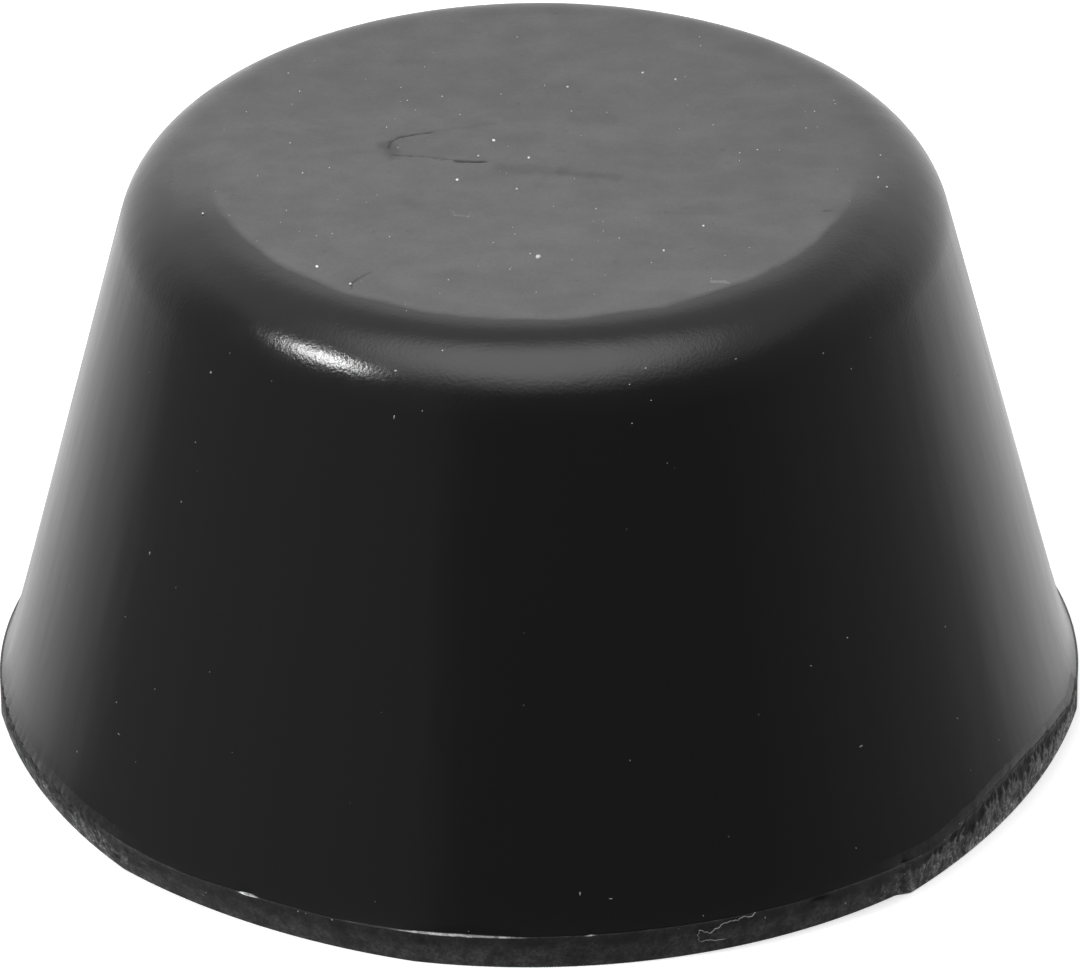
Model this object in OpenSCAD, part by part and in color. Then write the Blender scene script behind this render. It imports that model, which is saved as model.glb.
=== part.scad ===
// Lift pad: a tapered rubber pad, moulded in one piece and trimmed by hand.
//
// It stands on its base. The origin is the centre of the base, +Z points up,
// and every length is in millimetres. Azimuths are in degrees from +X,
// turning towards +Y, so 270 is the side that faces -Y.

/* [Moulding] */
// Diameter of the base, across the land
base_d = 63.5; // [45:0.5:90]
// Height from the base to the flat top
pad_h = 35; // [20:0.5:50]
// Draft of the side: its lean inwards from upright, in degrees
side_draft = 14.3; // [4:0.1:20]
// Radius that rounds the side into the flat top
crown_r = 5; // [1:0.1:8]

/* [Base land] */
// Height of the land: the band that was left between the mould's halves
land_h = 2.2; // [1:0.1:4]
// Width of the ledge between the foot of the side and the land's edge
ledge_w = 0.4; // [0.3:0.05:1]
// Whether the land is trimmed with a knife, or left as moulded
hand_trimmed = true; // [true, false]

/* [Hidden] */
$fa = 2;
$fs = 0.4;

// Each pass of the knife round the land: the azimuth of its middle, half of
// the angle that the blade swept, the ledge that it left there (below zero
// where it cut into the side), how much wider than the land it swept, and its
// lean outwards from upright. One pass runs into the next in an arris, and
// the third stopped short, which left a step.
knife_passes = [
    [208, 21, 0.11, 10.2, 10.5],
    [239, 25, 0.09, 8.2, 15.0],
    [281, 30, 0.13, 0.8, 10.5],
    [332, 20, -0.25, 13.2, 2.5],
];

base_r = base_d / 2;
foot_r = base_r - ledge_w;

// The side leans in from the ledge, and would meet the top in a sharp corner.
corner_r = foot_r - (pad_h - land_h) * tan(side_draft);

// The crown's arc touches the top and the side this far from that corner.
crown_run = crown_r * tan((90 - side_draft) / 2);
flat_r = corner_r - crown_run;

// The side ends this much inside the arc, so that the two always cross.
arc_bite = 0.002;
side_end = [
    corner_r + crown_run * sin(side_draft) - arc_bite * cos(side_draft),
    pad_h - crown_run * cos(side_draft) - arc_bite * sin(side_draft)
];

// A chip of the trim reaches this far past the land, outwards and below, and
// as far above the ledge as the land is high.
chip_over = 1.5;
chip_top = 2 * land_h;

// Half of the section of the pad as moulded, from the axis to the land.
module pad_profile() {
    polygon([
        [0, 0],
        [base_r, 0],
        [base_r, land_h],
        [foot_r, land_h],
        side_end,
        [flat_r, pad_h],
        [0, pad_h]
    ]);
    translate([flat_r, pad_h - crown_r])
        circle(r = crown_r);
}

// What one pass of the knife takes off, on the side that faces +X: all that
// lies outside the leaning wall that the blade leaves as it sweeps round.
module chip(half_sweep, ledge_left, sweep_over, lean) {
    sweep_r = base_r + sweep_over;
    flare = tan(lean);
    translate([foot_r + ledge_left - sweep_r, 0, 0])
        rotate(-half_sweep)
            rotate_extrude(angle = 2 * half_sweep)
                polygon([
                    [sweep_r - (chip_over + land_h) * flare, -chip_over],
                    [sweep_r + chip_over, -chip_over],
                    [sweep_r + chip_over, chip_top],
                    [sweep_r + (chip_top - land_h) * flare, chip_top]
                ]);
}

// The pad as it comes from the mould.
module moulding() {
    rotate_extrude()
        pad_profile();
}

module lift_pad() {
    color("#26272a")
        difference() {
            moulding();
            if (hand_trimmed)
                for (pass = knife_passes)
                    rotate(pass[0])
                        chip(pass[1], pass[2], pass[3], pass[4]);
        }
}

lift_pad();
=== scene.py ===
"""Lift pad: the looks of a black rubber pad, moulded in one piece and trimmed by hand.

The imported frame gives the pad's size and place. Shapes are worked out in
millimetres and turned to metres when a mesh is finished. Azimuths are in
degrees from +X, turning towards +Y, so 270 is the side that faces -Y.
"""

import math
import random

import bmesh
import bpy
from bpy.props import BoolProperty, FloatProperty, FloatVectorProperty, IntProperty, PointerProperty
from mathutils import Matrix, Vector, noise


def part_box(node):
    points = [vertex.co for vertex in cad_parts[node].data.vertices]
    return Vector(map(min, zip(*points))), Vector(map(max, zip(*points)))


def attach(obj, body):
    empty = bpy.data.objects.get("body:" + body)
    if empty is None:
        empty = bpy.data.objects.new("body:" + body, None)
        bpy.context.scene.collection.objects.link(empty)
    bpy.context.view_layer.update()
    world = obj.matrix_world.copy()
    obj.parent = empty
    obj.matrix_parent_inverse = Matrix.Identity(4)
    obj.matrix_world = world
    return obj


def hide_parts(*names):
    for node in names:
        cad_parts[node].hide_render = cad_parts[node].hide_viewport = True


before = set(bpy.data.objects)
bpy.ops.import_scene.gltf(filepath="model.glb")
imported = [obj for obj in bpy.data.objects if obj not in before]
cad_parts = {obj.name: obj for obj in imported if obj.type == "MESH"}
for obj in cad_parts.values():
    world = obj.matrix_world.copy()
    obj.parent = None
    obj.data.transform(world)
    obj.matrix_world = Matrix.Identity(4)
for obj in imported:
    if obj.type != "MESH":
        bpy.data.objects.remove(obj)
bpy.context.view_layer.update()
PAD_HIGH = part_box("lift_pad")[1]

bl_info = {
    "name": "Lift Pad",
    "version": (1, 0, 0),
    "blender": (4, 5, 0),
    "location": "View3D > Sidebar > Lift Pad",
    "description": "Builds a hand-trimmed rubber lift pad with its finish, dust and studio",
    "category": "Object",
}

MM = 0.001
PAD_BODY = "root"
PAD_NODE = "lift_pad"


# ---------------------------------------------------------------- sizes and colours


class PadSizes(bpy.types.PropertyGroup):
    """Sizes of the moulding, as a rubber moulder would give them."""

    base_d: FloatProperty(
        name="Base Diameter",
        description="Diameter of the base, across the land",
        default=2 * PAD_HIGH.x,
        unit="LENGTH",
    )
    pad_h: FloatProperty(
        name="Height",
        description="Height from the base to the flat top",
        default=PAD_HIGH.z,
        unit="LENGTH",
    )
    side_draft: FloatProperty(
        name="Side Draft",
        description="Lean of the side inwards from upright",
        default=math.radians(14.3),
        subtype="ANGLE",
    )
    crown_r: FloatProperty(
        name="Crown Radius",
        description="Radius that rounds the side into the flat top",
        default=0.005,
        unit="LENGTH",
    )
    land_h: FloatProperty(
        name="Land Height",
        description="Height of the band left between the mould's halves",
        default=0.0022,
        unit="LENGTH",
    )
    ledge_w: FloatProperty(
        name="Ledge Width",
        description="Width of the ledge between the foot of the side and the land's edge",
        default=0.0004,
        unit="LENGTH",
    )
    edge_round: FloatProperty(
        name="Edge Round",
        description="Tiny round on the land's edges",
        default=0.00003,
        unit="LENGTH",
    )
    hand_trimmed: BoolProperty(
        name="Hand Trimmed",
        description="Whether the land is trimmed with a knife, or left as moulded",
        default=True,
    )
    front_columns: IntProperty(
        name="Front Columns",
        description="Steps of the turned mesh round the trimmed front half",
        default=720,
        min=90,
    )
    back_columns: IntProperty(
        name="Back Columns",
        description="Steps of the turned mesh round the plain back half",
        default=200,
        min=45,
    )


class PadFinish(bpy.types.PropertyGroup):
    """Colours and sheen of the rubber."""

    skin_color: FloatVectorProperty(
        name="Moulded Skin",
        description="Colour of the glossy side and crown",
        default=(0.0125, 0.0125, 0.0128),
        subtype="COLOR",
    )
    skin_roughness: FloatProperty(
        name="Skin Roughness",
        description="Roughness of the glossy side and crown",
        default=0.17,
        subtype="FACTOR",
    )
    # The flat top's colour is the rubber's own dark grey plus painted sheen: it is set far lighter than the
    # side so that it stands for the sheen of the matte top.
    top_color_and_sheen: FloatVectorProperty(
        name="Flat Top",
        description="Colour of the matte top face",
        default=(0.106, 0.106, 0.107),
        subtype="COLOR",
    )
    top_roughness: FloatProperty(
        name="Top Roughness",
        description="Roughness of the matte top face",
        default=0.55,
        subtype="FACTOR",
    )
    cut_color: FloatVectorProperty(
        name="Cut Rubber",
        description="Colour of the knife-cut band",
        default=(0.038, 0.038, 0.039),
        subtype="COLOR",
    )
    dust_color: FloatVectorProperty(
        name="Dust",
        description="Colour of the dust and lint",
        default=(0.7, 0.7, 0.68),
        subtype="COLOR",
    )


class StudioLook(bpy.types.PropertyGroup):
    """Lamps and floor of the small studio."""

    floor_glow: FloatProperty(
        name="Floor Glow",
        description="Light that the floor sends to the camera by itself",
        default=0.45,
    )


# ---------------------------------------------------------------- the pad's section

# Each pass of the knife round the land: the azimuth of its middle, half of
# the angle that the blade swept, the ledge that it left there (below zero
# where it cut into the side), how much wider than the land it swept, and its
# lean outwards from upright. The third stopped short, which left a step.
KNIFE_PASSES = [
    (208, 21, 0.11, 10.2, 10.5),
    (239, 25, 0.09, 8.2, 15.0),
    (281, 30, 0.13, 0.8, 10.5),
    (332, 20, -0.25, 13.2, 2.5),
]

# Where the land's top edge kept a wider, glossy lip that catches the light:
# the azimuth of its middle, half its length in degrees, and its round.
LIPS = [(238.0, 1.4, 0.075), (261.5, 7.5, 0.075), (275.0, 0.6, 0.04)]

# Pits that the knife tore out of the band: azimuth, height, half width, half
# height and depth, all but the first in millimetres.
PITS = [
    (201.5, 2.0, 0.6, 0.22, 0.3),
    (300.2, 1.9, 0.8, 0.28, 0.22),
    (310.9, 2.3, 0.3, 0.3, 0.3),
    (193.0, 1.7, 0.3, 0.2, 0.12),
    (207.5, 1.9, 0.25, 0.15, 0.16),
    (211.0, 1.7, 0.5, 0.14, 0.16),
    (219.0, 0.6, 0.4, 0.2, 0.15),
]

# How far the torn look runs on over the band's top edge, and how torn the cut
# has to be for it to start and to be whole.
EDGE_CUT = 0.45
EDGE_TORN = (0.15, 0.7)

# The round from which a lip is all gloss, and how many times as far in as down
# a lip reaches.
GLOSSY_LIP = 0.045
LIP_WIDE = 1.7

# The knife lifts off the land over the last of its sweep, in degrees. Low down
# it lifts only a share of the way, which left a nick: that share, and the
# heights between which the lift grows whole.
LIFT_OFF = 1.7
NICK_LIFT = 0.65
NICK_Z = (0.2, 1.2)

# The foot of the side flares out to the land: how far a slow flare and a tight
# fillet reach, and how fast each fades with height. Outside them the land
# keeps a narrow ledge.
FLARE_W, FLARE_FADE = 0.2, 1.5
FILLET_W, FILLET_FADE = 0.15, 0.3
LEDGE_LEFT = 0.09
SHOULDER_ROUND = 0.02

# Azimuths over which something grows and over which it fades again: the front,
# where the slow flare is missing, and the two torn parts of the cut.
FRONT = (222, 242, 298, 318)
TORN_RIGHT = (300, 322, 354, 359)
TORN_LEFT = (184, 190, 214, 232)

# How torn the left part and the rest of the cut are, when the right is 1, and
# where the left part's mottled look ends.
LEFT_TORN, LEAST_TORN = 0.5, 0.05
MOTTLED_END = (226, 236)

# Noises that run round the band: their waves in each millimetre along it, and
# up it, and their seed.
SLOW_WOBBLE = (0.4, 0.0, 21.0)
QUICK_WOBBLE = (1.6, 0.0, 23.0)
WAVE = (0.3, 0.5, 3.1)
GRAIN = (3.7, 3.3, 5.5)
WANDER = (0.7, 1.1, 9.4)
TONGUES = (0.55, 0.2, 1.7)
STRANDS = (1.5, 1.0, 4.2)
FIBRES = (3.4, 1.7, 6.3)
POCKS = (1.9, 2.4, 14.2)
NICKS = (1.5, 0.0, 31.0)
STREAKS = (2.5, 0.6, 12.0)

# How far the cut's top edge wanders in, how much further where it is torn, and
# the share of its quick waves.
WOBBLE, TORN_WOBBLE, QUICK_SHARE = 0.012, 0.025, 0.9

# The top face lies this much low, so that the dust on it ends at the full height.
DUST_DEPTH = 0.03

# The turned mesh: its sectors in each half turn, the rows of points of each
# part of a column, the rings of its underside, and the top's last ring as a
# share of the flat's radius.
SECTORS = 4
BAND_ROWS = 18
SIDE_ROWS = 12
CROWN_ROWS = 16
ROUND_ROWS = 3
UNDER_RINGS = (0.0, 12.0, 24.0, 29.5)
TOP_RING = 0.995

# The side's rows crowd towards its foot by this power.
SIDE_CROWD = 2.2

# Gaps beside the land's rounded edges, in their rounds: from the underside's
# last ring, to the band's first row and from its last, and the step in and up
# from the upper edge to the ledge.
RIM_GAP, LOW_GAP, HIGH_GAP = 4, 2, 1.5
LEDGE_IN, LEDGE_UP = 0.2, 0.05

# Rows over which the torn look fades above the band, and the sectors in which
# the band's mesh is doubled.
EDGE_ROWS = 3
TORN_SECTORS = ((186, 230), (294, 356))

# The height at which the cut is measured, the cut that counts as whole, and
# the share of it from which the land counts as cut.
CUT_Z = 0.3
LEAST_CUT = 0.03
CUT_SEEN = 0.02

# A knife pass is looked for this far round from its middle. The land's top is
# searched for up to this many times its height, in so many halvings.
PASS_REACH = math.pi / 3
LAND_SEARCH = 3
HALVINGS = 20


class Section:
    """The pad's section in millimetres, and how it changes round the trimmed land."""

    def __init__(self, sizes):
        self.base_r = sizes.base_d / MM / 2
        self.top_z = sizes.pad_h / MM - DUST_DEPTH
        self.draft = math.tan(sizes.side_draft)
        self.draft_angle = sizes.side_draft
        self.crown_r = sizes.crown_r / MM
        self.land_h = sizes.land_h / MM
        self.edge_round = sizes.edge_round / MM
        self.trimmed = sizes.hand_trimmed
        self.foot_r = self.base_r - sizes.ledge_w / MM
        corner_r = self.foot_r - (self.top_z - self.land_h) * self.draft
        run = self.crown_r * math.tan((math.pi / 2 - self.draft_angle) / 2)
        self.flat_r = corner_r - run
        self.side_top_z = self.top_z - run * math.cos(self.draft_angle)

    def flare(self, azimuth, z):
        """How far the slow flare carries the side out, but at the front, at a height."""
        return FLARE_W * (1 - plateau(FRONT, azimuth)) * math.exp(-max(0.0, z - self.land_h) / FLARE_FADE)

    def side_radius(self, azimuth, z):
        """Radius of the drafted side, with its flared foot and rounded shoulder."""
        up = max(0.0, z - self.land_h)
        flared = self.foot_r - up * self.draft + self.flare(azimuth, z)
        flared += FILLET_W * math.exp(-up / FILLET_FADE)
        over = (flared - self.base_r + LEDGE_LEFT) / SHOULDER_ROUND
        return flared - SHOULDER_ROUND * math.log1p(math.exp(over))

    def blade_radius(self, azimuth, z):
        """Radius that the knife passes leave at an azimuth and height."""
        least = self.base_r
        for middle, half_sweep, ledge_left, sweep_over, lean in KNIFE_PASSES:
            turn = math.radians((azimuth - middle + 180) % 360 - 180)
            if abs(turn) > PASS_REACH:
                continue
            centre = self.foot_r + ledge_left - self.base_r - sweep_over
            swept = self.base_r + sweep_over + (z - self.land_h) * math.tan(math.radians(lean))
            reach = centre * math.cos(turn) + math.sqrt(swept**2 - (centre * math.sin(turn)) ** 2)
            blade_turn = abs(math.atan2(reach * math.sin(turn), reach * math.cos(turn) - centre))
            left = half_sweep - math.degrees(blade_turn)
            if left >= 0:
                lift = 1 - smooth_step(0.0, LIFT_OFF, left)
                lift *= NICK_LIFT + (1 - NICK_LIFT) * smooth_step(*NICK_Z, z)
                least = min(least, reach + lift * (self.base_r - reach))
        return least

    def wall_radius(self, azimuth, z):
        """Radius of the land's outer wall, which leans out to the flared side."""
        if not self.trimmed:
            return self.base_r
        lean = self.flare(azimuth, z) * min(1.0, z / self.land_h)
        return min(self.base_r, self.blade_radius(azimuth, z) + lean)

    def cut_share(self, azimuth):
        """1 where the land is cut, 0 where it is as moulded."""
        cut = self.base_r - self.wall_radius(azimuth, CUT_Z)
        return smooth_step(0.0, LEAST_CUT, cut)

    def edge_wobble(self, azimuth):
        """How far the torn top edge of the cut wanders in, in millimetres."""
        along = math.radians(azimuth) * self.base_r
        waves = 1.0 + band_noise(SLOW_WOBBLE, along, 0.0) + QUICK_SHARE * band_noise(QUICK_WOBBLE, along, 0.0)
        return self.cut_share(azimuth) * (WOBBLE + TORN_WOBBLE * torn_share(azimuth)) * waves

    def land_top(self, azimuth):
        """Height at which the land's wall ends: higher where the knife cut into the side."""
        wobble = self.edge_wobble(azimuth)
        if self.wall_radius(azimuth, self.land_h) - wobble >= self.side_radius(azimuth, self.land_h):
            return self.land_h
        low, high = self.land_h, self.land_h * LAND_SEARCH
        for _ in range(HALVINGS):
            middle = (low + high) / 2
            if self.wall_radius(azimuth, middle) - wobble < self.side_radius(azimuth, middle):
                low = middle
            else:
                high = middle
        return (low + high) / 2

    def lip_round(self, azimuth):
        """Round of the land's top edge, wider where a glossy lip was left."""
        wide = self.edge_round
        for middle, half, size in LIPS:
            away = abs(azimuth - middle) / half
            if away < 1 and self.trimmed:
                wide = max(wide, self.edge_round + size * (1 - away * away))
        return wide

    def column(self, azimuth):
        """One column of (radius, height) points, from the axis below to the top's rim."""
        top = self.land_top(azimuth)
        wobble = self.edge_wobble(azimuth)
        small = self.edge_round
        lip = self.lip_round(azimuth)
        lip_w = small + LIP_WIDE * (lip - small)
        rim = self.wall_radius(azimuth, 0.0)
        points = [(ring, 0.0) for ring in UNDER_RINGS]
        points.append((rim - RIM_GAP * small, 0.0))
        for k in range(ROUND_ROWS + 1):
            turn = k / ROUND_ROWS * math.pi / 2
            points.append((rim - small * (1 - math.sin(turn)), small * (1 - math.cos(turn))))
        low, high = small * LOW_GAP, top - lip * HIGH_GAP
        for k in range(BAND_ROWS):
            z = low + (high - low) * k / (BAND_ROWS - 1)
            points.append((self.wall_radius(azimuth, z) - wobble * z / top, z))
        outer = self.wall_radius(azimuth, top) - wobble
        for k in range(ROUND_ROWS + 1):
            turn = k / ROUND_ROWS * math.pi / 2
            points.append((outer - lip_w * (1 - math.cos(turn)), top - lip * (1 - math.sin(turn))))
        inner = min(self.side_radius(azimuth, top), outer - lip_w - small * LEDGE_IN)
        points.append((inner, top + small * LEDGE_UP))
        for k in range(SIDE_ROWS + 1):
            z = top + small + (self.side_top_z - top - small) * (k / SIDE_ROWS) ** SIDE_CROWD
            points.append((min(self.side_radius(azimuth, z), inner), z))
        for k in range(1, CROWN_ROWS + 1):
            turn = self.draft_angle + (math.pi / 2 - self.draft_angle) * k / CROWN_ROWS
            points.append((
                self.flat_r + self.crown_r * math.cos(turn),
                self.top_z - self.crown_r * (1 - math.sin(turn)),
            ))
        points.append((self.flat_r * TOP_RING, self.top_z))
        return points

    def band_stations(self):
        """First and last row of the cut band in a column, its lip included."""
        first = len(UNDER_RINGS) + 2
        return first, first + 2 * ROUND_ROWS + BAND_ROWS + 1


def smooth_step(low, high, value):
    """0 below low, 1 above high, and an even rise between."""
    share = min(1.0, max(0.0, (value - low) / (high - low)))
    return share * share * (3 - 2 * share)


def plateau(ends, value):
    """1 between the middle two ends, 0 beyond the outer two, and an even rise between."""
    return smooth_step(ends[0], ends[1], value) * (1 - smooth_step(ends[2], ends[3], value))


def torn_share(azimuth):
    """How torn the cut is at an azimuth: all of it at the right, little elsewhere."""
    return max(plateau(TORN_RIGHT, azimuth), LEFT_TORN * plateau(TORN_LEFT, azimuth), LEAST_TORN)


def band_noise(kind, along, z):
    """One of the band's noises at a place along and up it."""
    across, up, seed = kind
    return noise.noise(Vector((along * across, z * up, seed)))


def ridge(kind, along, z):
    """Torn ridges from one of the band's noises: 1 on a crest, 0 between two."""
    return max(0.0, 1 - RIDGE_SHARP * abs(band_noise(kind, along, z)))


# ---------------------------------------------------------------- the torn cut

# How narrow the torn ridges are, how much they lean and wander, and how their
# waves in each millimetre up the band grow where it is mottled.
RIDGE_SHARP = 2.6
RIDGE_LEAN, RIDGE_WANDER = 0.3, 0.5
STRAND_WAVES, MOTTLED_WAVES = 0.75, 1.6

# How deep each part of the relief lies. The flakes' parts come first.
STRAND_DEPTH, FIBRE_DEPTH, TONGUE_DEPTH = 0.05, 0.04, 0.02
HOLLOW_DEPTH, BARE_DEPTH, POCK_DEPTH = 0.09, 0.03, 0.1
WAVE_DEPTH, GRAIN_DEPTH = 0.012, 0.006

# How far up the band the flakes reach, as a share of its height, what each
# part adds to that, and how softly they end.
FLAKES_UP = 0.42
TONGUE_UP, STRAND_UP, FIBRE_UP, WAVE_DOWN = 0.2, 0.22, 0.1, 0.12
FLAKES_END = (-0.1, 0.06)

# Shares of the band's height: where the relief has grown whole, where the
# hollow fades, where nicks start, and where the light edge starts.
RELIEF_UP = 0.09
HOLLOW_END = (0.82, 0.98)
NICKS_START = (0.7, 0.92)
EDGE_START = 0.97

# How light the flakes are: beside them, in all, by strands, by fibres, and
# where both meet.
BARE_LIGHT, FLAT_LIGHT = 0.12, 0.12
STRAND_LIGHT, FIBRE_LIGHT, BOTH_LIGHT = 0.4, 0.2, 0.6

# The torn edge of the band: how light it is at least, and how much of its painted hollow shade it keeps.
EDGE_LIGHT, EDGE_HOLLOW = 0.25, 0.3

# Pocks and nicks: the noise at which each starts and is whole, how strong the
# pocks are, how strong both are outside and inside the mottled part, and how
# much more strongly they are painted with shade than they are sunk.
POCK_START, NICK_START = (0.12, 0.32), (0.05, 0.3)
POCK_SHARE, POCKED, MOTTLED_POCKED, POCK_HOLLOW = 0.6, 0.25, 1.5, 1.5

# A pit fades by this power, and ends at this many times its half size.
PIT_FADE, PIT_END = 1.4, 2

# Painted shade that darkens the cut: in the hollow, in the gaps between strands,
# and how torn it counts at least.
HOLLOW_DARK, GAP_DARK, LEAST_DARK = 0.7, 0.3, 0.35


def sunk_pits(azimuth, z, reach):
    """How deep the pits are at a place on the band, and how much of one it is, which is painted there as
    shade.
    """
    depth, pit_shade = 0.0, 0.0
    for pit_azimuth, pit_z, half_w, half_h, pit_depth in PITS:
        across = math.radians(azimuth - pit_azimuth) * reach / half_w
        up = (z - pit_z) / half_h
        if abs(across) < PIT_END and abs(up) < PIT_END:
            sink = math.exp(-(across**2 + up**2) * PIT_FADE)
            depth += pit_depth * sink
            pit_shade = max(pit_shade, sink)
    return depth, pit_shade


def cut_relief(azimuth, z, top, reach):
    """How far the cut wall lies inside its mean, how light its flakes are, and how much painted shade its
    hollows, gaps, pits and pocks get.
    """
    torn = torn_share(azimuth)
    mottled = 1 - smooth_step(*MOTTLED_END, azimuth)
    along = math.radians(azimuth) * reach
    share = z / top
    wave = band_noise(WAVE, along, z)
    leaning = along + RIDGE_LEAN * z + RIDGE_WANDER * band_noise(WANDER, along, z)
    tongues = ridge(TONGUES, leaning, z)
    strands = ridge(STRANDS, leaning, z * (STRAND_WAVES + MOTTLED_WAVES * mottled))
    fibres = ridge(FIBRES, leaning, z)
    reach_up = FLAKES_UP + TONGUE_UP * tongues + STRAND_UP * strands + FIBRE_UP * fibres - WAVE_DOWN * wave
    flaky = 1 - smooth_step(reach_up + FLAKES_END[0], reach_up + FLAKES_END[1], share)
    hollow_and_shade = (1 - flaky) * (1 - smooth_step(*HOLLOW_END, share))
    rough = STRAND_DEPTH * (1 - strands) + FIBRE_DEPTH * (1 - fibres) + TONGUE_DEPTH * (1 - tongues)
    depth = WAVE_DEPTH * (1 + wave) + GRAIN_DEPTH * (1 + band_noise(GRAIN, along, z))
    depth += torn * (HOLLOW_DEPTH * hollow_and_shade + flaky * rough + BARE_DEPTH * (1 - flaky) * (1 - strands))
    pit_depth, pit_shade = sunk_pits(azimuth, z, reach)
    pocks = POCK_SHARE * smooth_step(*POCK_START, band_noise(POCKS, along, z))
    nicks = smooth_step(*NICK_START, band_noise(NICKS, along, z)) * smooth_step(*NICKS_START, share)
    pocked = max(pocks, nicks) * torn * (POCKED + MOTTLED_POCKED * mottled)
    hollow_and_shade = max(hollow_and_shade, min(1.0, POCK_HOLLOW * pocked))
    depth = (depth + pit_depth + POCK_DEPTH * pocked) * smooth_step(0.0, RELIEF_UP, share)
    shine = FLAT_LIGHT + STRAND_LIGHT * strands + BOTH_LIGHT * fibres * strands + FIBRE_LIGHT * fibres
    light = torn * (BARE_LIGHT + (1 - BARE_LIGHT) * flaky) * shine
    if share > EDGE_START:
        light = max(light, EDGE_LIGHT * torn)
        hollow_and_shade *= EDGE_HOLLOW
    # Painted shade in the hollow and in the gaps between strands.
    dark = (HOLLOW_DARK * hollow_and_shade + GAP_DARK * (1 - strands)) * max(torn, LEAST_DARK)
    return depth, light, max(pit_shade, dark)


# ---------------------------------------------------------------- meshes

# Lines of the cracks in the top face, and each crack: its line, half its width
# and its depth.
HOOK_CRACK = [
    (-5.2, 4.25),
    (-5.9, 3.95),
    (-6.9, 3.7),
    (-7.8, 3.35),
    (-8.25, 2.8),
    (-8.35, 2.1),
    (-8.1, 1.5),
]
LONG_CRACK = [(-8.6, 2.1), (-8.1, 1.15), (-6.5, 1.0), (-4.6, 0.5), (-3.8, 0.3), (-2.7, 0.28)]
TWIN_CRACK = [(-6.3, 0.9), (-5.4, 0.45), (-4.6, 0.2), (-4.0, 0.15)]
DEEP_CRACK = [(-4.9, 0.5), (-4.1, 0.35), (-3.4, 0.28), (-2.5, 0.28)]
RIM_CRACK = [(-10.5, -15.2), (-10.3, -14.8), (-10.35, -14.2), (-9.6, -13.3), (-8.9, -12.7)]
MIDDLE_CRACKS = [
    (HOOK_CRACK, 0.12, 0.06),
    (LONG_CRACK, 0.1, 0.04),
    (TWIN_CRACK, 0.07, 0.03),
    (DEEP_CRACK, 0.12, 0.12),
]

# Fine patches of the top face: their low and high x, low and high y, and cracks.
TOP_PATCHES = [
    ((-9.4, -2.0, -0.5, 4.9), MIDDLE_CRACKS),
    ((-10.8, -8.6, -15.35, -12.4), [(RIM_CRACK, 0.1, 0.045)]),
]
PATCH_STEP = 0.08

# How far a crack's line wanders, its mean depth as a share and how much that
# varies, the waves in each millimetre and the seed of both, the shares of its
# length over which it starts and ends, and the depth at which its painted shade is darkest.
CRACK_WANDER, CRACK_MEAN, CRACK_ROUGH = 0.05, 0.75, 0.5
WANDER_WAVES, WANDER_SEED = 3, 2.0
ROUGH_WAVES, ROUGH_SEED = 2.2, 8.0
CRACK_ENDS = (0.0, 0.25, 0.8, 1.0)
CRACK_SHADE_DEPTH = 0.06

# The pad's materials in the order of its slots.
SIDE_SLOT, CUT_SLOT, UNDER_SLOT, TOP_SLOT = range(4)

# The rounded edge above the band is painted with shade: how dark it is at least, how much its
# streaks add, the noise over which they do so, and the share that is left just
# above it. Its lips are painted with a glint: how light they are, and how much streaks change that.
EDGE_SHADE, STREAK_SHADE, STREAK_RANGE, OVER_SHADE = 0.45, 0.5, (-0.3, 0.1), 0.5
LIP_GLINT, STREAK_GLINT = 2.2, 2.5

# Points nearer than this count as one, and points nearer than this to the
# axis stay where they are.
SAME_POINT = 0.0005
ON_AXIS = 0.01


def finish_mesh(name, bm, materials):
    """Turns a bmesh in millimetres into an object in metres that rides on the pad."""
    bmesh.ops.scale(bm, vec=(MM, MM, MM), verts=bm.verts)
    mesh = bpy.data.meshes.new(name)
    bm.to_mesh(mesh)
    bm.free()
    for material in materials:
        mesh.materials.append(material)
    mesh.polygons.foreach_set("use_smooth", [True] * len(mesh.polygons))
    piece = bpy.data.objects.new(name, mesh)
    bpy.context.scene.collection.objects.link(piece)
    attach(piece, PAD_BODY)
    return piece


def spin_sectors(bm, points, station, start, steps):
    """Spins a column of points through one sector, and repeats that sector over half a turn."""
    counts = [len(bm.verts), len(bm.edges), len(bm.faces)]
    turn = Matrix.Rotation(start, 3, "Z")
    verts = []
    for number, (radius, z) in enumerate(points):
        vert = bm.verts.new(turn @ Vector((radius, 0, z)))
        vert[station] = number
        verts.append(vert)
    edges = [bm.edges.new(pair) for pair in zip(verts, verts[1:])]
    sector = math.pi / SECTORS
    bmesh.ops.spin(
        bm,
        geom=verts + edges,
        cent=(0, 0, 0),
        axis=(0, 0, 1),
        angle=sector,
        steps=steps // SECTORS,
        use_merge=False,
        use_duplicate=False,
    )
    made = []
    for group, count in zip((bm.verts, bm.edges, bm.faces), counts):
        group.ensure_lookup_table()
        made += group[count:]
    for number in range(1, SECTORS):
        copied = bmesh.ops.duplicate(bm, geom=made)["geom"]
        bmesh.ops.rotate(
            bm,
            cent=(0, 0, 0),
            matrix=Matrix.Rotation(sector * number, 3, "Z"),
            verts=[item for item in copied if isinstance(item, bmesh.types.BMVert)],
        )


def near_line(point, line):
    """Distance from a point to a line of points, and how far along the line that is, 0 to 1."""
    best, at = 1e9, 0.0
    for number, (start, end) in enumerate(zip(line, line[1:])):
        start, end = Vector(start), Vector(end)
        run = end - start
        share = min(1.0, max(0.0, (point - start).dot(run) / run.length_squared))
        away = (point - start - run * share).length
        if away < best:
            best, at = away, (number + share) / (len(line) - 1)
    return best, at


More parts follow.
